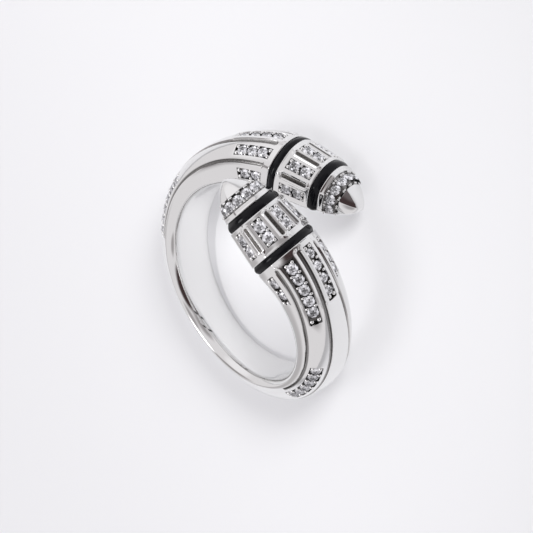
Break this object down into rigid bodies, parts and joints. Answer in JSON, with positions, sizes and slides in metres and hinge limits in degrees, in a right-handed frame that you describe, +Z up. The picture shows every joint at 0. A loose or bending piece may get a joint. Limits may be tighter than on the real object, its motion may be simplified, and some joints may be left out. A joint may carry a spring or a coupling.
{
  "type": "bypass ring",
  "caption": "Bypass finger ring whose faceted, grooved arms cross over the finger and end in barrels with black enamel rings, clear pave stones and bullet tips.",
  "frame": {"origin": "centre of the ring's box on the surface that it lies on", "axes": "+Z up, about along the finger hole's axis, which the resting ring tilts by 13 degrees; -Y towards the plain shank, +Y towards the crossing of the arms"},
  "size_m": [0.024, 0.025, 0.0133],
  "materials": {
    "silver": "polished silver",
    "enamel": "glossy black enamel",
    "stones": "clear cut stones"
  },
  "bodies": {
    "root": {"band": "silver", "enamel_lower_a": "enamel", "enamel_upper_a": "enamel", "enamel_lower_b": "enamel", "enamel_upper_b": "enamel", "stones_arm_a": "stones", "stones_barrel_a": "stones", "stones_tip_a": "stones", "stones_arm_b": "stones", "stones_barrel_b": "stones", "stones_tip_b": "stones"}
  },
  "joints": []
}
